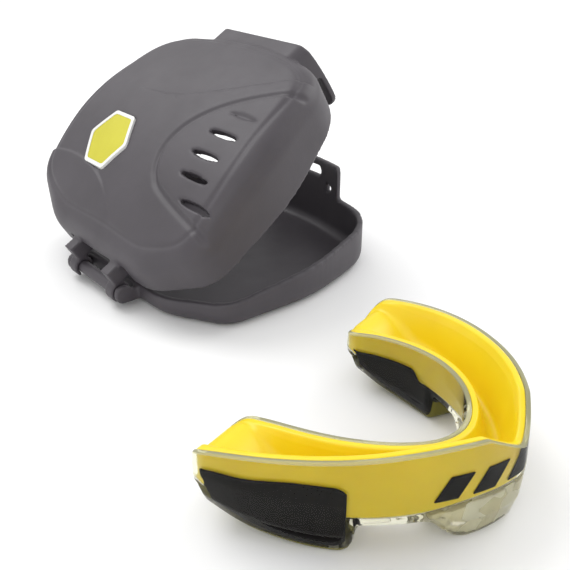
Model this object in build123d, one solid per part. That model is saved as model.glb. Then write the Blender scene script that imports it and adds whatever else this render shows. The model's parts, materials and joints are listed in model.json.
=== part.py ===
from build123d import *
import os
from math import cos, hypot, radians, sin

# A boil-and-bite mouthguard and the vented snap case that it is stored in.
# The case is in two moulded halves that turn on a bar at its hinge edge. Its latch is a slotted
# tab on the base and a catch on the lid's flap. The mouthguard is a clear outer shell with a gel
# liner, two molar pads and a front bumper. It stands on the table beside the open case.
# Frame: +X along the hinge bar, +Y from hinge to latch, +Z up, millimetres.
# The origin is the middle of the tray's underside.

# ---- driving dimensions: case -------------------------------------------------------------
WALL = 1.6
HALF_DEPTH = 33.0            # hinge edge at -Y, latch edge at +Y
FLOOR = 1.8
RIM_AT_HINGE = 5.5           # the parting plane climbs from the hinge to the latch
RIM_AT_LATCH = 12.5
RIM_GAP = 0.3                # between the closed halves
LID_TOP = 25.5
NOSE_PROUD = 0.4             # the latch edge bulges this far past HALF_DEPTH
BASE_CORNER = 4.0
LID_CORNER = 6.0
# Right half of the case's plan, hinge edge to latch edge, and the rounding of its corners.
HALF_OUTLINE = [(0, -33.0), (22.0, -32.6), (37.4, -23.6), (38.6, 2.0), (31.0, 28.4), (0, 34.4)]
OUTLINE_ROUNDING = {1: 18.0, 2: 9.0, 3: 50.0, 4: 17.0}
NOSE_ROUNDING = 70.0
# Side view of the lid's top as (y, height below LID_TOP).
LID_PROFILE = [(-48, 19.5), (-33, 12.5), (-14, 3.8), (8, 0), (26, 0.7), (48, 5.0)]

BAR_RADIUS = 1.6
BAR_CLEARANCE = 0.05
BAR_Y = -HALF_DEPTH - 3.4
BAR_Z = 4.0
BAR_HALF_LENGTH = 12.8
CHEEK_THICKNESS = 1.6
CHEEK_RADIUS = 2.3
WINDOW_HALF_WIDTH = 13.6     # opening in the lid wall that clears the bar and its cheeks
WINDOW_HEIGHT = 9.0
WINDOW_DEPTH = 12.0
CHEEK_WEB_TRIM = 1.2         # the cheek's web is lower than the cheek
CLIP_RADIUS = 2.6
CLIP_WIDTH = 3.4
CLIP_X = 9.2
CLIP_MOUTH = 2.6             # narrower than the bar, so the clip snaps on
CLIP_MOUTH_TILT = 20
CLIP_MOUTH_DEPTH = 6.0
CLIP_ARM_REACH = 6.0
CLIP_ARM_DEPTH = 4.5
CLIP_ARM_Z = 8.2
LID_ANGLE = 30.0             # how far the lid stands open at rest

TAB_HALF_WIDTH = 15.0
TAB_HEIGHT = 9.0
TAB_ROOT = 2.0               # how far the tab reaches down into the tray's wall
TAB_ZONE_DEPTH = 12.0
SLOT_LENGTH = 14.0
SLOT_WIDTH = 2.8
SLOT_DROP = 3.4              # slot centre below the tab's top edge
TAB_HOLE_RADIUS = 1.8
TAB_HOLE_X = 10.6
TAB_HOLE_DROP = 7.2
FLAP_HALF_WIDTH = 17.0
FLAP_DROP = 10.0             # flap's reach below the rim
FLAP_RISE = 10.5             # flap's reach above the rim
FLAP_WALL = 1.5
FLAP_CLEARANCE = 0.35
FLAP_BACKING = 4.0           # thickness of the bulge that joins the flap to the lid
FLAP_CORNER = 4.0            # flap's lower corners
FLAP_SHOULDER = 3.0          # and its upper ones
LATCH_ZONE_DEPTH = 20.0
TAB_CORNER = 2.0
POCKET_SIDE_CLEARANCE = 0.6  # room for the tab inside the lid's latch bulge
POCKET_DEPTH = 10.0
POCKET_SHIFT = 2.0
CATCH_LENGTH = 10.0
CATCH_HEIGHT = 1.6
CATCH_PROUD = 0.15           # the flap flexes over the tab, and this ridge drops towards the slot

VENT_LENGTH = 13.0
VENT_WIDTH = 1.7
VENTS = [(30.0, -15.5), (25.0, -10.0), (23.5, -4.5), (24.0, 1.5)]
BLIND_VENT = (25.0, 7.5)     # moulded as a shallow groove only
BLIND_VENT_DEPTH = 0.5

BADGE_X = -13.0
BADGE_Y = -10.0
BADGE_RADIUS = 8.6           # corner radius of the hexagonal badge
BADGE_CORNER = 1.2
BADGE_RIM = 1.1
BADGE_SINK = 0.5             # recess depth of the badge in the lid
BADGE_PROUD = 0.5
BADGE_GAP = 0.05             # between the badge and its recess
BADGE_FACE_STEP = 0.15       # the yellow face lies this far below the white rim

# ---- driving dimensions: mouthguard ---------------------------------------------------------
# Its own frame: x from the arm ends to the front teeth, z up, the bite pads on z = 0.
GUARD_X = 94.0               # place of the middle of the guard beside the case
GUARD_Y = -29.0
GUARD_TURN = 14.7            # degrees about Z
GUARD_MIDDLE = 20.0          # guard's own x that is put there
GUARD_REAR = 2.6             # arm ends behind its own x = 0
OUTER_LENGTH = 41.4
OUTER_HALF_WIDTH = 31.0
OUTER_FLARE = 4.9
OUTER_POWERS = (0.81, 1.38)
INNER_LENGTH = 29.9
INNER_HALF_WIDTH = 15.7
INNER_FLARE = -1.3
INNER_POWERS = (0.79, 1.03)
ARM_END_RADIUS = 5.5
# Side views of the rims as (x, z): both climb from the molars, and the inner one stays lower.
OUTER_RIM = [(-6, 13.4), (2, 15.0), (14, 17.2), (26, 18.7), (35, 19.6), (46, 18.2)]
INNER_RIM = [(-6, 12.2), (6, 13.9), (18, 14.9), (27, 14.4), (46, 13.6)]
INNER_WALL_REACH = (4.6, 5.2)    # plan growth of the inner curve that takes in the inner wall
NOTCH_START = 5.6                # in front of the inner curve
LINER_INSET = 1.4            # liner's outside below the shell's outside
PAD_INSET = 0.6
GUM_WALL = 1.4               # thickness of the liner's tooth walls
LINER_FLOOR = 6.6            # underside of the liner
TROUGH_FLOOR = 9.4
RIM_STEP = 0.5               # liner's rim below the shell's rim
PAD_LENGTH = 24.2
PAD_HEEL = 0.8               # pad block starts here, under the overhanging arm end
ARM_END_UNDERSIDE = 7.0
PAD_TOP_OUTSIDE = 12.8
PAD_TOP_INSIDE = 9.6
PAD_SOLE = 1.2               # clear sole below the pad
PAD_CREST = 7.0              # from the inner wall to where the pad's top steps down
PAD_START = 0.1
PAD_FRONT_GAP = 0.5
ARCH_UNDERSIDE = 5.4         # underside of the arch between pads and bumper
BUMPER_START = 33.6
BUMPER_TOP = 5.4
NOTCH_HALF_WIDTH = 8.0
NOTCH_BOTTOM = 14.8
BAR_COUNT = 5                # slanted marking bars across the front
BAR_PITCH = 7.0
BAR_WIDTH = 3.4
BAR_SLANT = 2.2
BAR_BOTTOM = 9.6
BAR_TOP = 13.6
MARK_THICKNESS = 0.35

GUARD_PLACE = Pos(GUARD_X, GUARD_Y, 0) * Rot(0, 0, GUARD_TURN) * Pos(-GUARD_MIDDLE, 0, 0)
HINGE = Pos(0, BAR_Y, BAR_Z)
BIG = 200.0


# ---- case -----------------------------------------------------------------------------------
def case_outline(grow=0.0):
    """Plan of the case: a short hinge edge, wide shoulders and a broad round latch edge."""
    mirrored = [(-x, y) for x, y in HALF_OUTLINE[-2:0:-1]]
    outline = Polyline(*HALF_OUTLINE, *mirrored, close=True)
    for index, radius in OUTLINE_ROUNDING.items():
        x, y = HALF_OUTLINE[index]
        pair = [v for v in outline.vertices() if hypot(abs(v.X) - x, v.Y - y) < 0.01]
        outline = fillet(pair, radius)
    nose = [v for v in outline.vertices() if abs(v.X) < 0.01 and v.Y > 0]
    outline = fillet(nose, NOSE_ROUNDING)
    return make_face(offset(outline, grow) if grow else outline)


def rim_z(y):
    """Height of the parting plane."""
    return RIM_AT_HINGE + (RIM_AT_LATCH - RIM_AT_HINGE) * (y + HALF_DEPTH) / (2 * HALF_DEPTH)


def side_prism(points):
    """A polygon in the YZ plane, extruded right across the case."""
    return extrude(Plane.YZ * make_face(Polyline(*points, close=True)), BIG, both=True)


def above_rim(lift=0.0):
    near, far = -60.0, 60.0
    return side_prism([(near, rim_z(near) + lift), (far, rim_z(far) + lift), (far, BIG), (near, BIG)])


def about_hinge(radius, half_length):
    """A cylinder round the hinge line."""
    return HINGE * Rot(0, 90, 0) * Cylinder(radius, 2 * half_length)


def slot_cutter(length, width):
    """A through-cutter for a round-ended slot, along X, cutting in Y."""
    return extrude(Plane.XZ * SlotOverall(length, width), BIG / 10, both=True)


def make_case_base():
    tray = fillet(extrude(case_outline(), LID_TOP).faces().sort_by(Axis.Z)[0].edges(), BASE_CORNER)
    room = extrude(Pos(0, 0, FLOOR) * case_outline(-WALL), LID_TOP)
    room = fillet(room.faces().sort_by(Axis.Z)[0].edges(), BASE_CORNER - WALL)
    tab_block = Box(2 * TAB_HALF_WIDTH, TAB_ZONE_DEPTH, TAB_HEIGHT + TAB_ROOT)
    tab_block = fillet(tab_block.edges().filter_by(Axis.Y).group_by(Axis.Z)[-1], TAB_CORNER)
    tab_zone = Pos(0, HALF_DEPTH, RIM_AT_LATCH + (TAB_HEIGHT - TAB_ROOT) / 2) * tab_block
    tab = extrude(case_outline() - case_outline(-WALL), RIM_AT_LATCH + TAB_HEIGHT) & tab_zone
    base = tray - room - above_rim() + tab - room
    slot_z = RIM_AT_LATCH + TAB_HEIGHT - SLOT_DROP
    base -= Pos(0, HALF_DEPTH, slot_z) * slot_cutter(SLOT_LENGTH, SLOT_WIDTH)
    hole_z = RIM_AT_LATCH + TAB_HEIGHT - TAB_HOLE_DROP
    hole = Plane.XZ * RegularPolygon(TAB_HOLE_RADIUS, 3)
    base -= Pos(TAB_HOLE_X, HALF_DEPTH, hole_z) * extrude(hole, BIG / 10, both=True)
    return base + hinge_bar()


def hinge_bar():
    """The bar that the lid's clips turn on, and the two cheeks that carry it off the wall."""
    bar = about_hinge(BAR_RADIUS, BAR_HALF_LENGTH)
    reach = -HALF_DEPTH + WALL / 2 - BAR_Y
    for side in (-1, 1):
        x = side * (BAR_HALF_LENGTH - CHEEK_THICKNESS / 2)
        cheek = Pos(x, 0, 0) * about_hinge(CHEEK_RADIUS, CHEEK_THICKNESS / 2)
        web = Pos(x, BAR_Y + reach / 2, BAR_Z - CHEEK_WEB_TRIM / 2)
        web *= Box(CHEEK_THICKNESS, reach, 2 * CHEEK_RADIUS - CHEEK_WEB_TRIM)
        bar += cheek + web
    return bar


def lid_profile(drop=0.0):
    """Side view of the lid's outside: low at the hinge, domed, a little lower at the latch."""
    top = Spline(*[(y, LID_TOP - below - drop) for y, below in LID_PROFILE])
    near, far = LID_PROFILE[0][0], LID_PROFILE[-1][0]
    foot = Polyline(top @ 1, (far, -20), (near, -20), top @ 0)
    return extrude(Plane.YZ * make_face([top, foot]), BIG, both=True)


def lid_body(inset, corner):
    """Solid of the lid's outside, or of the room in it when inset by the wall."""
    body = extrude(case_outline(-inset), LID_TOP + 8) & lid_profile(inset)
    top = body.faces().sort_by(Axis.Z)[-1]
    return fillet(top.edges(), corner)


def flap_ring(inner, outer):
    """Arc-shaped wall about the hinge line, over the latch only."""
    zone_height = FLAP_DROP + FLAP_RISE
    zone = Pos(0, HALF_DEPTH, RIM_AT_LATCH - FLAP_DROP + zone_height / 2)
    block = Box(2 * FLAP_HALF_WIDTH, LATCH_ZONE_DEPTH, zone_height)
    block = fillet(block.edges().filter_by(Axis.Y).group_by(Axis.Z)[-1], FLAP_SHOULDER)
    zone *= fillet(block.edges().filter_by(Axis.Y).group_by(Axis.Z)[0], FLAP_CORNER)
    return (about_hinge(outer, FLAP_HALF_WIDTH) - about_hinge(inner, FLAP_HALF_WIDTH + 1)) & zone


def make_case_lid():
    tab_top = RIM_AT_LATCH + TAB_HEIGHT
    swing = hypot(HALF_DEPTH + NOSE_PROUD - BAR_Y, tab_top - BAR_Z) + FLAP_CLEARANCE
    flap = flap_ring(swing, swing + FLAP_WALL)
    bulge = flap_ring(swing - FLAP_BACKING, swing + FLAP_WALL) & above_rim(RIM_GAP)
    lid = lid_body(0, LID_CORNER) & above_rim(RIM_GAP)
    lid = lid + bulge - lid_body(WALL, LID_CORNER - WALL)
    pocket = Pos(0, HALF_DEPTH - POCKET_SHIFT, RIM_AT_LATCH + TAB_HEIGHT / 2)
    pocket *= Box(2 * (TAB_HALF_WIDTH + POCKET_SIDE_CLEARANCE), POCKET_DEPTH, TAB_HEIGHT + 1.0)
    lid = lid - (pocket & about_hinge(swing, BIG)) + flap
    catch_zone = Pos(0, HALF_DEPTH, tab_top - SLOT_DROP)
    catch_zone *= Box(CATCH_LENGTH, LATCH_ZONE_DEPTH, CATCH_HEIGHT)
    lid += flap_ring(swing - CATCH_PROUD, swing + CATCH_PROUD) & catch_zone
    lid -= Pos(0, -HALF_DEPTH, RIM_AT_HINGE) * Box(2 * WINDOW_HALF_WIDTH, WINDOW_DEPTH, WINDOW_HEIGHT)
    lid += lid_clips()
    for x, y in VENTS:
        lid -= Pos(x, y, 0) * vent(BIG / 4)
    groove = Pos(*BLIND_VENT, 0) * vent(BIG / 4)
    lid -= groove - lid_body(BLIND_VENT_DEPTH, LID_CORNER - BLIND_VENT_DEPTH)
    return lid - badge_hexagon(BADGE_RADIUS, -BADGE_SINK, BIG)


def badge_hexagon(radius, low, high):
    """Hexagonal layer that follows the lid's top, between two heights over it."""
    hexagon = fillet(RegularPolygon(radius, 6).vertices(), BADGE_CORNER)
    column = extrude(Pos(BADGE_X, BADGE_Y, 0) * hexagon, BIG / 4)
    layer = column - lid_body(-low, LID_CORNER + low)
    if high < BIG:
        layer &= extrude(case_outline(), BIG) & lid_profile(-high)
    return layer


def make_badge():
    """White rim with a yellow face inside it, both domed with the lid."""
    plate = badge_hexagon(BADGE_RADIUS - BADGE_GAP, -BADGE_SINK, BADGE_PROUD)
    face = badge_hexagon(BADGE_RADIUS - BADGE_RIM, -BADGE_SINK / 2, BADGE_PROUD - BADGE_FACE_STEP)
    cut = badge_hexagon(BADGE_RADIUS - BADGE_RIM, -BADGE_SINK / 2, BIG)
    return plate - cut, face


def vent(height):
    """Lens-shaped cutter: two equal arcs that meet at pointed ends."""
    half, rise = VENT_LENGTH / 2, VENT_WIDTH / 2
    lens = [ThreePointArc((-half, 0), (0, side * rise), (half, 0)) for side in (-1, 1)]
    return extrude(make_face(lens), height)


def lid_clips():
    """Two hooks under the hinge edge that snap over the bar."""
    clips = Part()
    for x in (-CLIP_X, CLIP_X):
        arm = Pos(0, BAR_Y + CLIP_ARM_REACH / 2, CLIP_ARM_Z)
        arm *= Box(CLIP_WIDTH, CLIP_ARM_REACH, CLIP_ARM_DEPTH)
        hook = about_hinge(CLIP_RADIUS, CLIP_WIDTH / 2) + arm
        hook -= about_hinge(BAR_RADIUS + BAR_CLEARANCE, CLIP_WIDTH)
        mouth = Pos(0, 0, -CLIP_MOUTH_DEPTH / 2) * Box(CLIP_WIDTH + 1, CLIP_MOUTH, CLIP_MOUTH_DEPTH)
        hook -= HINGE * Rot(-CLIP_MOUTH_TILT, 0, 0) * mouth
        clips += Pos(x, 0, 0) * hook
    return clips


# ---- mouthguard -------------------------------------------------------------------------------
def arch_curve(length, half_width, flare, powers, rear):
    """Plan region behind one curve of the dental arch, closed by a straight rear edge."""
    side = []
    for angle in (90, 75, 60, 45, 30, 20, 10, 0):
        x = length * sin(radians(angle)) ** powers[0]
        y = (half_width - flare) * cos(radians(angle)) ** powers[1] + flare * (1 - x / length)
        side.append((x, y))
    side[0] = (length, 0.0)
    side.append((-rear, half_width + flare * rear / length))
    curve = Spline(*[(x, -y) for x, y in side[:0:-1]], *side)
    return make_face([curve, Line(curve @ 1, curve @ 0)])


def arch_face(inset):
    """Horseshoe plan of the guard, shrunk by an inset from its outside, inside and arm ends."""
    outer = arch_curve(OUTER_LENGTH - inset, OUTER_HALF_WIDTH - inset, OUTER_FLARE, OUTER_POWERS, 20)
    inner = arch_curve(INNER_LENGTH + inset, INNER_HALF_WIDTH + inset, INNER_FLARE, INNER_POWERS, 25)
    behind = Pos(inset - GUARD_REAR - 30, 0) * Rectangle(60, 90)
    return outer - inner - behind


def arch_solid(inset, low, high, end_radius=ARM_END_RADIUS):
    """Horseshoe prism with rounded arm ends."""
    body = Pos(0, 0, low) * extrude(arch_face(inset), high - low)
    ends = body.edges().filter_by(Axis.Z).group_by(Axis.X)[0]
    return fillet(ends, end_radius - inset)


def guard_side(points):
    """A side view of the guard in the XZ plane, extruded across both arms."""
    return extrude(Plane.XZ * make_face(points), BIG / 4, both=True)


def under_rim(step=0.0):
    """Everything below the outer rim, which climbs from the molars to the front teeth."""
    rim = Spline(*[(x, z - step) for x, z in OUTER_RIM])
    return guard_side([rim, Polyline(rim @ 1, (46, -5), (-6, -5), rim @ 0)])


def over_inner_rim(step=0.0):
    """What is cut off the inner wall, whose rim is lower than the outer one."""
    rim = Spline(*[(x, z - step) for x, z in INNER_RIM])
    high = guard_side([rim, Polyline(rim @ 1, (46, 40), (-6, 40), rim @ 0)])
    length, half_width = INNER_LENGTH + INNER_WALL_REACH[0], INNER_HALF_WIDTH + INNER_WALL_REACH[1]
    middle = extrude(arch_curve(length, half_width, INNER_FLARE, INNER_POWERS, 25), 40)
    return high & middle


def over_underside(lift=0.0):
    """Everything above the guard's underside: two bite pads, the arch and the front bumper."""
    heel, toe = PAD_HEEL + lift, PAD_LENGTH - lift
    under = Polyline((-6, ARM_END_UNDERSIDE + lift), (heel, ARM_END_UNDERSIDE + lift),
                     (heel + 0.3, 4.2 + lift), (8, 1.8 + lift), (21, lift), (toe - 1, lift),
                     (toe, 0.8 + lift), (toe + 0.2, ARCH_UNDERSIDE + lift), (46, ARCH_UNDERSIDE + lift),
                     (46, 40), (-6, 40), close=True)
    return guard_side([under])


def front_notch():
    """V-shaped relief at the middle of the front rim."""
    v = Polyline((-NOTCH_HALF_WIDTH, 22), (0, NOTCH_BOTTOM), (NOTCH_HALF_WIDTH, 22), close=True)
    face = make_face(v)
    return Pos(INNER_LENGTH + NOTCH_START, 0, 0) * extrude(Plane.YZ * face, 20)


def make_mouthguard():
    """The guard's six layers, from the outside in, as a name-to-solid mapping."""
    outside = arch_solid(0, 0, 22) & under_rim() & over_underside()
    outside -= over_inner_rim()
    liner = arch_solid(LINER_INSET, LINER_FLOOR, 22) & under_rim(RIM_STEP) & over_underside(PAD_SOLE)
    liner -= over_inner_rim(RIM_STEP)
    trough_inset = LINER_INSET + GUM_WALL
    trough = arch_solid(trough_inset, TROUGH_FLOOR, 24)
    liner -= trough + front_notch()
    shell = outside - liner - trough - front_notch()
    shell -= arch_solid(LINER_INSET, LINER_FLOOR, 24) & over_underside(PAD_SOLE)

    pads = make_pads()
    bumper = make_bumper()
    marks = make_marks()
    solids = {"outer_shell": shell - pads["left_molar_pad"] - pads["right_molar_pad"] - marks,
              "gel_liner": liner, "front_bumper": bumper - shell, "front_marking": marks}
    solids.update(pads)
    return solids


def make_pads():
    """Two saddle-shaped rubber pads under the molars, cast between shell and liner."""
    outside_part = arch_curve(INNER_LENGTH + PAD_CREST, INNER_HALF_WIDTH + PAD_CREST, INNER_FLARE,
                              INNER_POWERS, 25)
    span = PAD_LENGTH - PAD_FRONT_GAP - PAD_START
    window = Pos(PAD_START + span / 2, 0, 0) * Box(span, 90, 60)
    saddle = arch_solid(PAD_INSET, 0, PAD_TOP_OUTSIDE) & over_underside(PAD_SOLE) & window
    saddle -= arch_solid(LINER_INSET, LINER_FLOOR, 24)
    saddle -= Pos(0, 0, PAD_TOP_INSIDE) * extrude(outside_part, 30)
    sides = saddle.solids().sort_by(Axis.Y)
    return {"right_molar_pad": sides[0], "left_molar_pad": sides[-1]}


def make_bumper():
    """Shock-absorbing block under the front of the arch, with a faceted underside."""
    block = arch_solid(0, 0, BUMPER_TOP)
    block &= Pos(BUMPER_START + 10, 0, 0) * Box(20, 60, 60)
    return block


def make_marks():
    """Slanted bars just inside the shell's front, which replace any lettering."""
    ring = extrude(arch_face(LINER_INSET - MARK_THICKNESS) - arch_face(LINER_INSET), 22)
    bars = Part()
    for index in range(BAR_COUNT):
        y = (index - (BAR_COUNT - 1) / 2) * BAR_PITCH
        foot, head = y - BAR_SLANT / 2, y + BAR_SLANT / 2
        bar = Polyline((foot, BAR_BOTTOM), (foot + BAR_WIDTH, BAR_BOTTOM), (head + BAR_WIDTH, BAR_TOP),
                       (head, BAR_TOP), close=True)
        bars += Pos(INNER_LENGTH, -BAR_WIDTH / 2, 0) * extrude(Plane.YZ * make_face(bar), 20)
    return ring & bars


def main():
    os.makedirs("parts", exist_ok=True)
    opening = HINGE * Rot(LID_ANGLE, 0, 0) * HINGE.inverse()
    badge_rim, badge_face = make_badge()
    nodes = {"case_base": make_case_base(), "case_lid": opening * make_case_lid(),
             "badge_rim": opening * badge_rim, "badge_face": opening * badge_face}
    nodes.update({name: GUARD_PLACE * solid for name, solid in make_mouthguard().items()})
    for name, solid in nodes.items():
        export_step(solid, f"parts/{name}.step")


main()
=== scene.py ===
import json
from math import acos, cos, pi, radians, sin, sqrt, tan

import bmesh
import bpy
import numpy as np
from mathutils import Matrix, Vector, noise


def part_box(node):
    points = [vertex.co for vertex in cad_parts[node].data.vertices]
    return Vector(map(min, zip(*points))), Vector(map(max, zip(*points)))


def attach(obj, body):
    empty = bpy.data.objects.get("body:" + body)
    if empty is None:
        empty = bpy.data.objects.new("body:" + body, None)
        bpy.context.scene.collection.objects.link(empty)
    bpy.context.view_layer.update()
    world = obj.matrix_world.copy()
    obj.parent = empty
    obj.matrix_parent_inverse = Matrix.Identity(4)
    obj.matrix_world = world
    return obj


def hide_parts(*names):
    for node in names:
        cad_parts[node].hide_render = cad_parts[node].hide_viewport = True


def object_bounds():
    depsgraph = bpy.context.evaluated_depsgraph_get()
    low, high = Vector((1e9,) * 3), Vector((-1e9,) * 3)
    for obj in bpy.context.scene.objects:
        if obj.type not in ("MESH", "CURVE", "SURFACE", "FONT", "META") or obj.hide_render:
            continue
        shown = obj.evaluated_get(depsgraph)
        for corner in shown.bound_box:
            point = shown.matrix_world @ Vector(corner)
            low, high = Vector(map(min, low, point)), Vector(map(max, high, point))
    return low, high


# A boil-and-bite mouthguard beside its open, vented clamshell case.
# Lengths are millimetres until they become vertices, and MM turns them into metres.
MM = 0.001

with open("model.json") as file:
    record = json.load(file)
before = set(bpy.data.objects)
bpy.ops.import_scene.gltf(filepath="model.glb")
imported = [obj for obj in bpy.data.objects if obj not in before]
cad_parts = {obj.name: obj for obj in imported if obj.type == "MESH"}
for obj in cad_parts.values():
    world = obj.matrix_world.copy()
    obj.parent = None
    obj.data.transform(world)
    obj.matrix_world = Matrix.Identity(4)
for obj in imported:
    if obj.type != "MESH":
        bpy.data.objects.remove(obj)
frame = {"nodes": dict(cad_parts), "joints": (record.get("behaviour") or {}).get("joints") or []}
CAD_BOX = [list(corner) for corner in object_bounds()]


# ---- places, worked out from the frame ---------------------------------------------------------
JOINTS = {joint["name"]: joint for joint in frame["joints"]}
HINGE = Vector(JOINTS["lid_hinge"]["pos_m"]) / MM
LID_OPEN = -radians(JOINTS["lid_hinge"]["range_deg"][0])
GUARD_TURN = radians(14.7)       # the guard's heading about Z
SHELL_LOW, SHELL_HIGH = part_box("outer_shell")


def guard_origin():
    """Where the guard's own origin lies: its apex and arm ends touch the shell's box."""
    turn = Matrix.Rotation(GUARD_TURN, 3, "Z")
    points = [turn @ Vector((x, y, 0)) for x, y in outline_points()]
    middle = Vector([(min(p[i] for p in points) + max(p[i] for p in points)) / 2 for i in (0, 1)])
    box = (SHELL_LOW + SHELL_HIGH) / 2 / MM
    return Vector((box.x - middle.x, box.y - middle.y, 0))


# ---- mouthguard: the dental arch ---------------------------------------------------------------
OUTER = {"length": 41.4, "width": 31.0, "flare": 4.9, "powers": (0.81, 1.38)}
INNER = {"length": 29.9, "width": 15.7, "flare": -1.3, "powers": (0.79, 1.03)}
REAR = 2.6                       # arm ends behind the guard's own x = 0
PAD_HEEL, PAD_TOE = 0.6, 24.2
ARM_END_UNDERSIDE = 7.0
ARCH_UNDERSIDE = 5.4
TOE_RADIUS = 2.0                 # rounding of the bite pad's front lower corner
SOLE_THICKNESS = 1.25            # clear polymer under the molar pads
LINER_INSET = 1.25
NOTCH_HALF_WIDTH = 8.0
NOTCH_DEPTH = 4.6
NOTCH_SOFTNESS = 0.6
STEP_LENGTH = 0.55               # spacing of the sections along the arch
CAP_LENGTH = 4.6                 # rounded stretch at each arm end
CAP_SQUARENESS = 3.0
CAP_STEPS = 14
THINNEST = 0.02                  # of a section's width at the very end of an arm
LOWEST = 0.03                    # and of its height
NOSE_LENGTH = 2.8                # side view of the arm ends: a rounded nose
NOSE_POWER = 2.2
NOSE_HEIGHT = 9.9
LINER_REAR_INSET = 0.2
PAD_END_INSET = 2.0
BUMPER_START = 33.6
FACET_DEPTH = 0.8
FACET_SIZE = (0.0022, 0.0022, 0.0018)    # metres, the cells that the bumper is broken into
FACET_SEED = 1794856558          # without a seed Blender's noise vector follows the clock
CORNER_POINTS = 6                # points on each rounded corner of a section
SOLE_ARC = range(0, CORNER_POINTS - 1)
RIM_ARCS = [range(first * CORNER_POINTS, (first + 2) * CORNER_POINTS - 1) for first in (3, 7)]

# Slanted bars inside the front wall, which stand for the guard's marking.
MARK_COUNT = 5
MARK_LOW, MARK_HIGH = 9.7, 13.9
MARK_SLANT = -2.6
MARK_PITCH = 6.8
MARK_WIDTH = 4.0
MARK_DEPTH = 0.85
MARK_THICKNESS = 0.3

# Side views as (x, z) knots.
OUTER_RIM = [(-3, 13.3), (2, 15.0), (14, 17.2), (26, 18.7), (35, 19.5), (42, 19.0)]
INNER_RIM = [(-3, 12.0), (6, 13.9), (18, 14.9), (25, 14.7), (30, 13.8)]
BITE_PAD = [(PAD_HEEL, 4.4), (8, 1.8), (15, 0.6), (21, 0.0), (25, 0.0)]
BUMPER_BOTTOM = [(32.8, 5.3), (34.2, 4.5), (35.6, 2.4), (36.8, 0.8), (38.0, 0.05), (42, 0.0)]
LINER_BOTTOM = [(0, 7.6), (24, 7.2), (32, 7.4), (38, 8.3), (42, 8.4)]
PAD_TOP_OUTSIDE = [(-1, 11.0), (4, 11.6), (8, 11.9), (15, 13.2), (19, 13.4), (25, 13.1)]
PAD_TOP_INSIDE = [(-1, 8.6), (6, 9.3), (12, 9.7), (25, 10.0)]


def arch_point(arch, angle, side):
    """Point of an arch curve: angle 0 at the molars and 90 degrees at the front teeth."""
    x = arch["length"] * sin(angle) ** arch["powers"][0]
    y = (arch["width"] - arch["flare"]) * max(cos(angle), 0) ** arch["powers"][1]
    y += arch["flare"] * (1 - x / arch["length"])
    return x, side * y


def rear_point(arch, x, side):
    """Point of an arch curve's straight run behind the molars."""
    return x, side * (arch["width"] - arch["flare"] * x / arch["length"])


def outline_points():
    angles = [radians(a) for a in range(0, 91, 3)]
    points = [arch_point(OUTER, a, side) for a in angles for side in (-1, 1)]
    middle = (OUTER["width"] + INNER["width"]) / 2
    return points + [(-REAR, side * middle) for side in (-1, 1)]


def smoothstep(value, low, high):
    t = min(max((value - low) / (high - low), 0.0), 1.0)
    return t * t * (3 - 2 * t)


def curve_height(x, knots):
    """Smooth height along the guard through a few (x, z) knots."""
    xs, zs = zip(*knots)
    if x <= xs[0]:
        return zs[0]
    if x >= xs[-1]:
        return zs[-1]
    index = next(i for i in range(len(xs) - 1) if x <= xs[i + 1])
    before, after = max(index - 1, 0), min(index + 2, len(xs) - 1)
    slope_in = (zs[index + 1] - zs[before]) / (xs[index + 1] - xs[before])
    slope_out = (zs[after] - zs[index]) / (xs[after] - xs[index])
    span = xs[index + 1] - xs[index]
    t = (x - xs[index]) / span
    return ((2 * t ** 3 - 3 * t ** 2 + 1) * zs[index] + (t ** 3 - 2 * t ** 2 + t) * span * slope_in
            + (3 * t ** 2 - 2 * t ** 3) * zs[index + 1] + (t ** 3 - t ** 2) * span * slope_out)


def outer_rim(x, y):
    """Height of the outer rim, with the V-shaped notch at the front."""
    z = curve_height(x, OUTER_RIM)
    depth = max(1 - sqrt(y * y + NOTCH_SOFTNESS) / NOTCH_HALF_WIDTH, 0)
    return z - NOTCH_DEPTH * depth if x > INNER["length"] else z


def inner_rim(x):
    return curve_height(x, INNER_RIM)


def underside(x):
    """Height of the guard's underside: arm end, bite pad, arch and front bumper."""
    pad = curve_height(x, BITE_PAD)
    if x > PAD_TOE - TOE_RADIUS:
        into = min(x, PAD_TOE) - PAD_TOE + TOE_RADIUS
        pad += TOE_RADIUS - sqrt(max(TOE_RADIUS ** 2 - into ** 2, 0))
    z = ARM_END_UNDERSIDE + (pad - ARM_END_UNDERSIDE) * smoothstep(x, PAD_HEEL - 0.7, PAD_HEEL + 0.5)
    z += (ARCH_UNDERSIDE - z) * smoothstep(x, PAD_TOE - 0.1, PAD_TOE + 0.7)
    return z


def bumper_underside(x):
    return curve_height(x, BUMPER_BOTTOM)


def make_stations(inset):
    """Sections across the arch, from the left arm end round the front to the right arm end."""
    rear = REAR - inset
    cap = CAP_LENGTH - inset
    xs = [-rear + cap * (1 - cos(pi / 2 * i / CAP_STEPS)) for i in range(CAP_STEPS + 1)]
    xs = [x for x in xs if x < 0] + [-0.001]
    arm = []
    fine = np.radians(np.linspace(0, 90, 2001))
    points = np.array([arch_point(OUTER, a, 1) for a in fine])
    lengths = np.concatenate([[0], np.cumsum(np.hypot(*np.diff(points, axis=0).T))])
    count = int(lengths[-1] / STEP_LENGTH)
    angles = np.interp(np.linspace(0, lengths[-1], count), lengths, fine)
    for side in (1, -1):
        half = [(rear_point(OUTER, x, side), rear_point(INNER, x, side)) for x in xs]
        half += [(arch_point(OUTER, a, side), arch_point(INNER, a, side)) for a in angles]
        arm.append(half)
    pairs = arm[0] + arm[1][-2::-1]
    return [Station(outer, inner, -rear, cap) for outer, inner in pairs]


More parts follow.
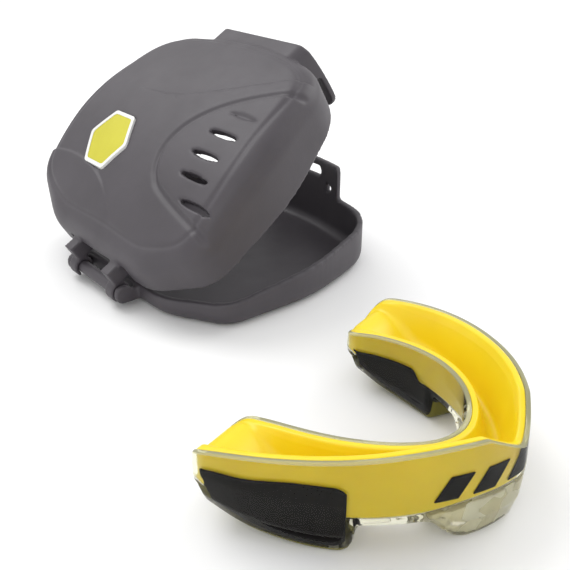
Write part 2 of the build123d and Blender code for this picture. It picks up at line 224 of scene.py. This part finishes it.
class Station:
    """One section across the arch: where it is, how wide, and how far its arm end is rounded."""

    def __init__(self, outer, inner, rear, cap):
        self.outer, self.inner = Vector(outer), Vector(inner)
        self.width = (self.inner - self.outer).length
        self.across = (self.inner - self.outer) / self.width
        self.x = self.outer.x
        self.y = self.outer.y
        self.inner_x = self.inner.x
        t = min(max((rear + cap - self.x) / cap, 0.0), 1.0)
        self.round = max(1 - t ** CAP_SQUARENESS, 0.0) ** (1 / CAP_SQUARENESS)
        u = min(max((rear + NOSE_LENGTH - self.x) / NOSE_LENGTH, 0.0), 1.0)
        self.nose = max(1 - u ** NOSE_POWER, 0.0) ** (1 / NOSE_POWER)

    def place(self, a, z):
        a = self.width / 2 + (a - self.width / 2) * max(self.round, THINNEST)
        point = self.outer + self.across * a
        z = NOSE_HEIGHT + (z - NOSE_HEIGHT) * max(self.nose, LOWEST)
        return Vector((point.x, point.y, z))


def rounded_loop(corners):
    """Closed loop of points through corners (a, z, radius), each corner an arc."""
    loop = []
    count = len(corners)
    for i, (a, z, radius) in enumerate(corners):
        corner = Vector((a, z))
        before = Vector(corners[i - 1][:2]) - corner
        after = Vector(corners[(i + 1) % count][:2]) - corner
        half = acos(max(min(before.normalized().dot(after.normalized()), 0.9999), -0.9999)) / 2
        reach = min(radius / tan(half), 0.48 * before.length, 0.48 * after.length)
        start = corner + before.normalized() * reach
        end = corner + after.normalized() * reach
        for k in range(CORNER_POINTS):
            t = k / (CORNER_POINTS - 1)
            loop.append(start * (1 - t) ** 2 + corner * 2 * t * (1 - t) + end * t ** 2)
    return loop


def sweep(stations, section):
    """Closed tube of quads through one section loop per station, capped at both ends."""
    rings = [[s.place(p.x, p.y) for p in rounded_loop(section(s))] for s in stations]
    size = len(rings[0])
    verts = [v * MM for ring in rings for v in ring]
    faces = []
    for i in range(len(rings) - 1):
        for k in range(size):
            j = (k + 1) % size
            faces.append((i * size + k, i * size + j, (i + 1) * size + j, (i + 1) * size + k))
    for ring, turn in ((0, 1), (len(rings) - 1, -1)):
        start = len(verts)
        verts.append(sum(rings[ring], Vector()) / size * MM)
        for k in range(size):
            face = (ring * size + k, start, ring * size + (k + 1) % size)
            faces.append(face[::turn])
    return verts, faces


def build_object(name, parts, place=None):
    """Mesh object from (verts, faces, material) parts, with normals facing outwards."""
    mesh = bpy.data.meshes.new(name)
    bm = bmesh.new()
    for index, (verts, faces, material) in enumerate(parts):
        mesh.materials.append(material)
        made = [bm.verts.new(v) for v in verts]
        for face in faces:
            bm.faces.new([made[i] for i in face]).material_index = index
    bmesh.ops.recalc_face_normals(bm, faces=bm.faces)
    bm.to_mesh(mesh)
    bm.free()
    if place:
        mesh.transform(place)
    for polygon in mesh.polygons:
        polygon.use_smooth = True
    piece = bpy.data.objects.new(name, mesh)
    bpy.context.scene.collection.objects.link(piece)
    return piece


# ---- mouthguard: sections of its layers --------------------------------------------------------
def liner_bottom(s):
    return max(curve_height(s.x, LINER_BOTTOM), underside(s.x) + 1.0)


def shell_section(s):
    """Clear outer shell: both walls, the block under the bite and the front bumper's skin."""
    bottom = underside(s.x)
    front = bumper_underside(s.x)
    bottom_in = bottom
    if s.x > 30:
        bottom = min(bottom, front)
        bottom_in = bottom + 0.7 * smoothstep(s.x, 36, 39)
    high, low = outer_rim(s.x, s.y), inner_rim(s.inner_x)
    floor = liner_bottom(s) - 0.05
    w, tuck = s.width, 1.5
    return [(tuck, bottom, 1.3), (0.35, (bottom + 9) / 2, 3.0), (0.0, 10.5, 5.0), (0.35, high, 0.5),
            (1.2, high, 0.22), (LINER_INSET - 0.04, floor, 0.8), (w - LINER_INSET + 0.04, floor, 0.8),
            (w - 1.2, low, 0.22), (w - 0.35, low, 0.5), (w, 9.5, 4.0), (w - 0.4, (bottom + 8) / 2, 3.0),
            (w - tuck - 0.2, bottom_in, 1.3)]


def liner_section(s):
    """Gel liner: a soft trough for the teeth with rounded lips."""
    high = outer_rim(s.x, s.y) - 0.05
    low = inner_rim(s.inner_x) - 0.05
    floor = liner_bottom(s)
    w = s.width
    rear = smoothstep(s.x, -2.0, 12.0)
    flush = (high + low) / 2 - 0.4
    trough = flush + (9.3 - flush) * rear
    outer_slope = 3.6 + 0.7 * rear
    inner_slope = min(3.6 + 0.7 * rear, w / 2 - 1.2)
    return [(LINER_INSET + 0.02, floor, 0.9), (LINER_INSET - 0.03, high, 0.35), (2.35, high, 0.55),
            (2.9, high - 1.6 * rear, 1.5), (outer_slope, trough, 2.4), (w - inner_slope, trough, 2.4),
            (w - 2.9, low - 1.2 * rear, 1.5), (w - 2.35, low, 0.55), (w - LINER_INSET + 0.03, low, 0.35),
            (w - LINER_INSET - 0.02, floor, 0.9)]


def pad_section(s):
    """Molar pad: a black saddle under the liner that climbs both walls."""
    shift = -1.0 + 1.8 * smoothstep(s.x, 6.0, 18.0)
    bottom = underside(min(s.x + shift, PAD_TOE - 0.15)) + SOLE_THICKNESS
    high = curve_height(s.x, PAD_TOP_OUTSIDE)
    low = curve_height(s.x, PAD_TOP_INSIDE)
    corner = 2.2
    edge = max(s.x - (PAD_TOE - 0.6 - corner), 0)
    high -= corner - sqrt(max(corner ** 2 - min(edge, corner) ** 2, 0))
    low -= 2.8 * smoothstep(s.x, 17.5, 22)
    floor = liner_bottom(s) - 0.1
    low = max(low, floor + 0.4)
    w = s.width
    return [(1.5, bottom, 1.0), (0.5, bottom + 2, 1.4), (0.42, high, 0.12), (1.12, high, 0.12),
            (1.15, floor, 0.5), (w - 1.15, floor, 0.5), (w - 1.12, low, 0.12), (w - 0.42, low, 0.12),
            (w - 0.6, min(bottom + 2, low - 0.2), 0.8), (w - 1.7, bottom, 1.0)]


def bumper_section(s):
    """Core of the front bumper, inside the clear shell."""
    bottom = min(underside(s.x), bumper_underside(s.x)) + 0.9
    top = liner_bottom(s) - 0.35
    w = s.width
    return [(1.7, bottom, 0.5), (0.8, (bottom + top) / 2, 0.8), (1.1, top, 0.3),
            (w - 2.2, top, 0.5), (w - 2.0, bottom + 0.8, 0.5)]


def marking_bar(stations, start):
    """Thin slab inside the outer wall, with slanted ends; start is measured along the arch."""
    outer = np.array([[s.outer.x, s.outer.y] for s in stations])
    lengths = np.concatenate([[0], np.cumsum(np.hypot(*np.diff(outer, axis=0).T))])
    lengths -= lengths[len(stations) // 2]
    across = np.array([[s.across.x, s.across.y] for s in stations])
    columns, rows = 14, 8
    verts, faces = [], []
    for layer in range(2):
        for j in range(rows + 1):
            z = MARK_LOW + (MARK_HIGH - MARK_LOW) * j / rows
            for i in range(columns + 1):
                run = start + MARK_SLANT * (j / rows - 0.5) + MARK_WIDTH * i / columns
                point = [np.interp(run, lengths, outer[:, k]) for k in (0, 1)]
                way = [np.interp(run, lengths, across[:, k]) for k in (0, 1)]
                a = MARK_DEPTH + MARK_THICKNESS * layer
                verts.append(Vector((point[0] + way[0] * a, point[1] + way[1] * a, z)) * MM)
    row = columns + 1
    layer_size = row * (rows + 1)
    for j in range(rows):
        for i in range(columns):
            k = j * row + i
            faces.append((k, k + 1, k + row + 1, k + row))
            faces.append(tuple(layer_size + n for n in (k + row, k + row + 1, k + 1, k)))
    ring = list(range(columns)) + [j * row + columns for j in range(rows)]
    ring += [rows * row + i for i in range(columns, 0, -1)] + [j * row for j in range(rows, 0, -1)]
    for n, k in enumerate(ring):
        following = ring[(n + 1) % len(ring)]
        faces.append((k, layer_size + k, layer_size + following, following))
    return verts, faces


# ---- materials ---------------------------------------------------------------------------------
def new_material(name):
    """Node material: returns it with its node tree, shader and object coordinates."""
    material = bpy.data.materials.new(name)
    material.use_nodes = True
    tree = material.node_tree
    shader = tree.nodes["Principled BSDF"]
    coordinates = tree.nodes.new("ShaderNodeTexCoord").outputs["Object"]
    return material, tree, shader, coordinates


def noise_node(tree, coordinates, scale, detail=4.0, rough=0.55):
    node = tree.nodes.new("ShaderNodeTexNoise")
    node.inputs["Scale"].default_value = scale
    node.inputs["Detail"].default_value = detail
    node.inputs["Roughness"].default_value = rough
    tree.links.new(coordinates, node.inputs["Vector"])
    return node.outputs["Fac"]


def ramp(tree, value, stops):
    """Colour ramp through (position, colour) stops."""
    node = tree.nodes.new("ShaderNodeValToRGB")
    elements = node.color_ramp.elements
    while len(elements) < len(stops):
        elements.new(0.5)
    for element, (position, colour) in zip(elements, stops):
        element.position = position
        element.color = (*colour, 1)
    tree.links.new(value, node.inputs["Fac"])
    return node.outputs["Color"]


def span(tree, value, low, high):
    node = tree.nodes.new("ShaderNodeMapRange")
    node.inputs["To Min"].default_value = low
    node.inputs["To Max"].default_value = high
    tree.links.new(value, node.inputs["Value"])
    return node.outputs["Result"]


def bump(tree, shader, height, strength, distance):
    node = tree.nodes.new("ShaderNodeBump")
    node.inputs["Strength"].default_value = strength
    node.inputs["Distance"].default_value = distance
    tree.links.new(height, node.inputs["Height"])
    tree.links.new(node.outputs["Normal"], shader.inputs["Normal"])


def moulded_plastic(name, dark, light, roughness=(0.42, 0.58), grain=2600.0, strength=0.22):
    """Matt moulded plastic: fine grain, faint flow marks and an uneven sheen."""
    material, tree, shader, coordinates = new_material(name)
    flow = noise_node(tree, coordinates, 55.0, 5.0)
    tree.links.new(ramp(tree, flow, [(0.3, dark), (0.7, light)]), shader.inputs["Base Color"])
    handled = noise_node(tree, coordinates, 160.0, 3.0)
    tree.links.new(span(tree, handled, *roughness), shader.inputs["Roughness"])
    bump(tree, shader, noise_node(tree, coordinates, grain, 2.0), strength, 0.00008)
    shader.inputs["Specular IOR Level"].default_value = 0.45
    return material


def gel_material():
    """Yellow gel: soft, slightly see-through and warmer where it is deep."""
    material, tree, shader, coordinates = new_material("yellow_gel")
    cloud = noise_node(tree, coordinates, 70.0, 3.0)
    colour = ramp(tree, cloud, [(0.3, (0.80, 0.60, 0.006)), (0.7, (0.86, 0.67, 0.014))])
    tree.links.new(colour, shader.inputs["Base Color"])
    sheen = noise_node(tree, coordinates, 240.0)
    tree.links.new(span(tree, sheen, 0.30, 0.44), shader.inputs["Roughness"])
    bump(tree, shader, noise_node(tree, coordinates, 420.0, 3.0), 0.12, 0.0002)
    shader.inputs["Subsurface Weight"].default_value = 0.25
    shader.inputs["Subsurface Radius"].default_value = (1.0, 0.65, 0.1)
    shader.inputs["Subsurface Scale"].default_value = 0.002
    return material


def clear_material(name, tint, roughness, bump_strength, clearness=1.0):
    """Clear soft polymer with a faint tint and a slightly wavy surface."""
    material, tree, shader, coordinates = new_material(name)
    haze = noise_node(tree, coordinates, 130.0, 3.0)
    light = tuple(min(c * 1.04, 1.0) for c in tint)
    tree.links.new(ramp(tree, haze, [(0.3, tint), (0.7, light)]), shader.inputs["Base Color"])
    tree.links.new(span(tree, haze, *roughness), shader.inputs["Roughness"])
    bump(tree, shader, noise_node(tree, coordinates, 320.0, 2.0), bump_strength, 0.0002)
    shader.inputs["Transmission Weight"].default_value = clearness
    shader.inputs["IOR"].default_value = 1.24
    return material


def bumper_material():
    """Cloudy clear polymer: irregular flats, some milky and some warm."""
    material, tree, shader, coordinates = new_material("bumper_polymer")
    cells = tree.nodes.new("ShaderNodeTexVoronoi")
    cells.inputs["Scale"].default_value = 330.0
    tree.links.new(coordinates, cells.inputs["Vector"])
    flats = [(0.15, (0.84, 0.78, 0.54)), (0.5, (0.93, 0.90, 0.76)), (0.85, (0.97, 0.96, 0.88))]
    tree.links.new(ramp(tree, cells.outputs["Color"], flats), shader.inputs["Base Color"])
    tree.links.new(span(tree, cells.outputs["Color"], 0.18, 0.4), shader.inputs["Roughness"])
    bump(tree, shader, cells.outputs["Distance"], 0.35, 0.0006)
    shader.inputs["Transmission Weight"].default_value = 0.45
    shader.inputs["IOR"].default_value = 1.4
    return material


def rubber_material(name, dark, light):
    """Black rubber with a finely pitted surface."""
    material, tree, shader, coordinates = new_material(name)
    pits = noise_node(tree, coordinates, 900.0, 4.0)
    tree.links.new(ramp(tree, pits, [(0.35, dark), (0.75, light)]), shader.inputs["Base Color"])
    tree.links.new(span(tree, pits, 0.55, 0.75), shader.inputs["Roughness"])
    bump(tree, shader, pits, 0.35, 0.0003)
    shader.inputs["Specular IOR Level"].default_value = 0.05
    return material


# ---- case --------------------------------------------------------------------------------------
VOXEL = 0.40
SMOOTHING = 3
KEPT_FACES = 0.45
BADGE_GRAIN, BADGE_BUMP = 1500.0, 0.05


def soften(node, name, material, shape=None):
    """Moulded copy of a CAD node: remeshed so that every edge is slightly rounded."""
    source = frame["nodes"][node]
    piece = bpy.data.objects.new(name, source.data.copy())
    bpy.context.scene.collection.objects.link(piece)
    piece.data.materials.clear()
    piece.data.materials.append(material)
    remesh = piece.modifiers.new("remesh", "REMESH")
    remesh.mode = "VOXEL"
    remesh.voxel_size = VOXEL * MM
    smooth = piece.modifiers.new("smooth", "SMOOTH")
    smooth.factor = 0.5
    smooth.iterations = SMOOTHING
    apply_modifiers(piece)
    if shape:
        reshape(piece, shape)
    thin = piece.modifiers.new("thin", "DECIMATE")
    thin.ratio = KEPT_FACES
    apply_modifiers(piece)
    for polygon in piece.data.polygons:
        polygon.use_smooth = True
    return piece


def apply_modifiers(piece):
    graph = bpy.context.evaluated_depsgraph_get()
    mesh = bpy.data.meshes.new_from_object(piece.evaluated_get(graph))
    piece.modifiers.clear()
    piece.data = mesh


def reshape(piece, shape):
    """Moves each vertex along its normal by shape(points, normals), in the closed case's frame."""
    mesh = piece.data
    count = len(mesh.vertices)
    points, normals = np.zeros(count * 3), np.zeros(count * 3)
    mesh.vertices.foreach_get("co", points)
    mesh.vertices.foreach_get("normal", normals)
    points, normals = points.reshape(-1, 3) / MM, normals.reshape(-1, 3)
    turn = np.array(Matrix.Rotation(-LID_OPEN, 3, "X"))
    pivot = np.array(HINGE)
    closed = (points - pivot) @ turn.T + pivot
    moved = points + normals * shape(closed, normals @ turn.T)[:, None]
    mesh.vertices.foreach_set("co", (moved * MM).ravel())
    mesh.update()


def curve_through(knots, per_span=12):
    """Smooth open curve through a few knots."""
    knots = [np.array(k, float) for k in knots]
    ends = [2 * knots[0] - knots[1]] + knots + [2 * knots[-1] - knots[-2]]
    points = []
    for a, b, c, d in zip(ends, ends[1:], ends[2:], ends[3:]):
        for t in np.linspace(0, 1, per_span, endpoint=False):
            points.append(0.5 * (2 * b + (c - a) * t + (2 * a - 5 * b + 4 * c - d) * t ** 2
                                 + (3 * b - 3 * c + d - a) * t ** 3))
    return np.array(points + [knots[-1]])


def distance_to(curve, points):
    """Distance of each plan point from a curve, and which side of it the point is on."""
    best = np.full(len(points), 1e9)
    side = np.zeros(len(points))
    for start, end in zip(curve[:-1], curve[1:]):
        run = end - start
        offset = points - start
        t = np.clip(offset @ run / (run @ run), 0, 1)
        gap = offset - t[:, None] * run
        far = np.hypot(gap[:, 0], gap[:, 1])
        nearer = far < best
        best = np.where(nearer, far, best)
        cross = run[0] * offset[:, 1] - run[1] * offset[:, 0]
        side = np.where(nearer, np.sign(cross), side)
    return best, side


def np_smoothstep(value, low, high):
    t = np.clip((value - low) / (high - low), 0, 1)
    return t * t * (3 - 2 * t)


# Plan curves of the lid's relief, in the closed case's frame.
VENT_LOBE = [(46, 25), (33, 19.5), (18.6, 11), (10.5, 2.5), (8.2, -6), (11.5, -13), (20, -16.8),
             (46, -22)]
LATCH_LOBE = [(-46, 5), (-26, 5.5), (-13, 6.5), (-2, 8), (9, 12.5), (27.6, 22.5), (46, 34)]
HINGE_LOBE = [(-46, -20), (-26, -16.5), (-12, -17.5), (-2, -22), (6, -30), (10, -40)]
GROOVE_DEPTH, GROOVE_WIDTH = 0.55, 0.75
VENT_LOBE_RISE = 0.45
LATCH_LOBE_DROP, LATCH_LOBE_REACH = 0.65, 7.0
HINGE_LOBE_RISE, HINGE_LOBE_REACH = 0.5, 6.0
EDGE_LINE_DEPTH, EDGE_LINE_WIDTH, EDGE_LINE_INSET = 0.3, 0.6, 5.6
LID_EDGE = [(0, -33.0), (22.0, -32.6), (37.4, -23.6), (38.6, 2.0), (31.0, 28.4), (0, 34.4)]


def lid_shape(points, normals):
    """Relief of the lid's top: a vented side lobe, a latch lobe, a hinge lobe and an edge line."""
    plan = points[:, :2]
    on_top = np_smoothstep(normals[:, 2], 0.35, 0.8) * np_smoothstep(points[:, 2], 12.0, 15.0)
    far, side = distance_to(curve_through(VENT_LOBE), plan)
    relief = -GROOVE_DEPTH * np.exp(-(far / GROOVE_WIDTH) ** 2)
    relief += VENT_LOBE_RISE * (side > 0) * np_smoothstep(far, 0.4, 1.8)
    far, side = distance_to(curve_through(LATCH_LOBE), plan)
    fade = np_smoothstep(plan[:, 0], -20.0, -4.0)
    drop = fade * LATCH_LOBE_DROP * (side > 0) * np.exp(-(far / LATCH_LOBE_REACH) ** 2)
    relief -= drop * np_smoothstep(far, -0.4, 0.5)
    far, side = distance_to(curve_through(HINGE_LOBE), plan)
    fade = np_smoothstep(-plan[:, 0], -4.0, 12.0)
    rise = fade * HINGE_LOBE_RISE * (side < 0) * np.exp(-(far / HINGE_LOBE_REACH) ** 2)
    relief += rise * np_smoothstep(far, 0.0, 0.8)
    edge = LID_EDGE + [(-x, y) for x, y in LID_EDGE[-2::-1]]
    far, _ = distance_to(curve_through(edge), plan)
    relief -= EDGE_LINE_DEPTH * np.exp(-((far - EDGE_LINE_INSET) / EDGE_LINE_WIDTH) ** 2)
    return relief * on_top


# ---- build -------------------------------------------------------------------------------------
def make_case():
    dark, light = (0.050, 0.044, 0.051), (0.063, 0.056, 0.065)
    plastic = moulded_plastic("charcoal_plastic", dark, light)
    base = soften("case_base", "moulded_tray", plastic)
    lid = soften("case_lid", "moulded_lid", plastic, lid_shape)
    for piece, body, node in ((base, "case_base", "case_base"), (lid, "case_lid", "case_lid")):
        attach(piece, body)
        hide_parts(node)
    white = moulded_plastic("badge_white", (0.72, 0.72, 0.70), (0.82, 0.82, 0.80), (0.22, 0.32),
                            BADGE_GRAIN, BADGE_BUMP)
    yellow = moulded_plastic("badge_yellow", (0.50, 0.46, 0.015), (0.58, 0.54, 0.03), (0.2, 0.3),
                             BADGE_GRAIN, BADGE_BUMP)
    for node, material in (("badge_rim", white), ("badge_face", yellow)):
        mesh = frame["nodes"][node].data
        mesh.materials.clear()
        mesh.materials.append(material)


def make_guard():
    place = Matrix.Translation(guard_origin() * MM) @ Matrix.Rotation(GUARD_TURN, 4, "Z")
    shell_stations = make_stations(0)
    liner_stations = make_stations(LINER_REAR_INSET)
    clear = clear_material("clear_polymer", (0.90, 0.89, 0.72), (0.03, 0.10), 0.06)
    # Painted shade: the clear sole gets a dark olive tint for the dark pad and gel seen through it.
    sole = clear_material("sole_painted_shade", (0.22, 0.20, 0.035), (0.2, 0.3), 0.08, 0.35)
    # Painted light: the clear rims get a pale grey-green, part-opaque colour for the glow seen through
    # the shell's edge.
    rim = clear_material("rim_painted_glow", (0.62, 0.60, 0.36), (0.12, 0.25), 0.06, 0.55)
    core = bumper_material()
    gel = gel_material()
    rubber = rubber_material("black_rubber", (0.002, 0.0015, 0.0015), (0.007, 0.006, 0.006))
    ink = rubber_material("black_ink", (0.002, 0.002, 0.002), (0.007, 0.006, 0.006))

    pieces = {"outer_shell": [(*sweep(shell_stations, shell_section), clear)],
              "gel_liner": [(*sweep(liner_stations, liner_section), gel)]}
    pad_stations = [s for s in make_stations(PAD_END_INSET) if s.x < PAD_TOE - 0.6]
    for node, side in (("left_molar_pad", 1), ("right_molar_pad", -1)):
        arm = [s for s in pad_stations if s.y * side > 0]
        pieces[node] = [(*sweep(arm, pad_section), rubber)]
    front = [s for s in shell_stations if s.x > BUMPER_START]
    pieces["front_bumper"] = [(*facet(*sweep(front, bumper_section)), core)]
    starts = [(i - MARK_COUNT // 2) * MARK_PITCH - MARK_WIDTH / 2 for i in range(MARK_COUNT)]
    pieces["front_marking"] = [(*marking_bar(shell_stations, start), ink) for start in starts]
    for node, parts in pieces.items():
        piece = build_object("moulded_" + node, parts, place)
        if node == "outer_shell":
            paint_sole_shade_and_rim_glow(piece, shell_stations, sole, rim)
        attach(piece, "mouthguard")
        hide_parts(node)


def paint_sole_shade_and_rim_glow(piece, stations, sole, rim):
    """Gives the sole round the bite pads and the two rims of the shell their own materials: painted
    shade on the sole, a dark olive tint, and painted light on the rims, a pale grey-green.
    """
    piece.data.materials.append(sole)
    piece.data.materials.append(rim)
    ring = len(shell_section(stations[0])) * CORNER_POINTS
    for index in range((len(stations) - 1) * ring):
        station, face = stations[index // ring], index % ring
        if station.x < PAD_TOE + 0.4 and (face in SOLE_ARC or face >= ring - CORNER_POINTS):
            piece.data.polygons[index].material_index = 1
        elif any(face in arc for arc in RIM_ARCS):
            piece.data.polygons[index].material_index = 2


def facet(verts, faces):
    """Breaks a smooth block into irregular facets, the same ones each run."""
    noise.seed_set(FACET_SEED)
    moved = []
    for v in verts:
        cell = Vector([round(value / size) for value, size in zip(v, FACET_SIZE)])
        push = noise.noise_vector(cell * 1.37) * FACET_DEPTH * MM
        moved.append(v + push)
    return moved, faces


# ---- floor, light and camera -------------------------------------------------------------------
FLOOR_HALF = 3.0
WORLD_STRENGTH = 0.92
LIGHTS = [("key", (-0.35, -0.1, 0.55), 0.45, 1.9),     # place from the middle, size, power
          ("fill", (0.5, -0.45, 0.4), 0.6, 0.8),
          ("rim", (0.05, 0.55, 0.35), 0.4, 1.0)]


def make_stage():
    mesh = bpy.data.meshes.new("floor")
    half = FLOOR_HALF
    corners = [(-half, -half, 0), (half, -half, 0), (half, half, 0), (-half, half, 0)]
    mesh.from_pydata(corners, [], [(0, 1, 2, 3)])
    material, tree, shader, coordinates = new_material("floor_white")
    paper = noise_node(tree, coordinates, 3.0)
    tree.links.new(ramp(tree, paper, [(0.3, (0.88, 0.88, 0.88)), (0.7, (0.9, 0.9, 0.9))]),
                   shader.inputs["Base Color"])
    shader.inputs["Roughness"].default_value = 0.9
    mesh.materials.append(material)
    floor = bpy.data.objects.new("floor", mesh)
    bpy.context.scene.collection.objects.link(floor)


def add_area(name, place, aim, size, power):
    light = bpy.data.lights.new(name, "AREA")
    light.shape = "DISK"
    light.size = size
    light.energy = power
    lamp = bpy.data.objects.new(name, light)
    lamp.location = place
    lamp.rotation_euler = (Vector(aim) - Vector(place)).to_track_quat("-Z", "Y").to_euler()
    bpy.context.scene.collection.objects.link(lamp)


def make_lights(middle):
    world = bpy.data.worlds.new("studio")
    world.use_nodes = True
    background = world.node_tree.nodes["Background"]
    background.inputs["Color"].default_value = (1, 1, 1, 1)
    background.inputs["Strength"].default_value = WORLD_STRENGTH
    bpy.context.scene.world = world
    bpy.context.scene.view_settings.view_transform = "Standard"
    for name, offset, size, power in LIGHTS:
        add_area(name, middle + Vector(offset), middle, size, power)


CAMERA_BEARING = radians(42.6)   # 0 looks along +Y
CAMERA_HEIGHT = radians(37.0)
CAMERA_DISTANCE = 0.139          # from the middle of the guard
AIM_SHARE = 0.44                 # the view's middle, from the guard towards the case
AIM_LIFT = 0.006
LENS = 50.5


def camera_places():
    """Camera and aim: behind the guard's near arm, looking over it to the case."""
    guard = (SHELL_LOW + SHELL_HIGH) / 2
    level = CAMERA_DISTANCE * cos(CAMERA_HEIGHT)
    rise = CAMERA_DISTANCE * sin(CAMERA_HEIGHT)
    place = guard + Vector((level * sin(CAMERA_BEARING), -level * cos(CAMERA_BEARING), rise))
    aim = guard.lerp(Vector((0, 0, guard.z)), AIM_SHARE)
    return place, aim + Vector((0, 0, AIM_LIFT))


def make_camera():
    data = bpy.data.cameras.new("camera")
    data.lens = LENS
    data.sensor_width = 36.0
    data.clip_start = 0.005
    camera = bpy.data.objects.new("camera", data)
    place, aim = camera_places()
    camera.location = place
    camera.rotation_euler = (aim - place).to_track_quat("-Z", "Y").to_euler()
    bpy.context.scene.collection.objects.link(camera)
    bpy.context.scene.camera = camera


make_camera()
make_case()
make_guard()
make_stage()
make_lights((Vector(CAD_BOX[0]) + Vector(CAD_BOX[1])) / 2)
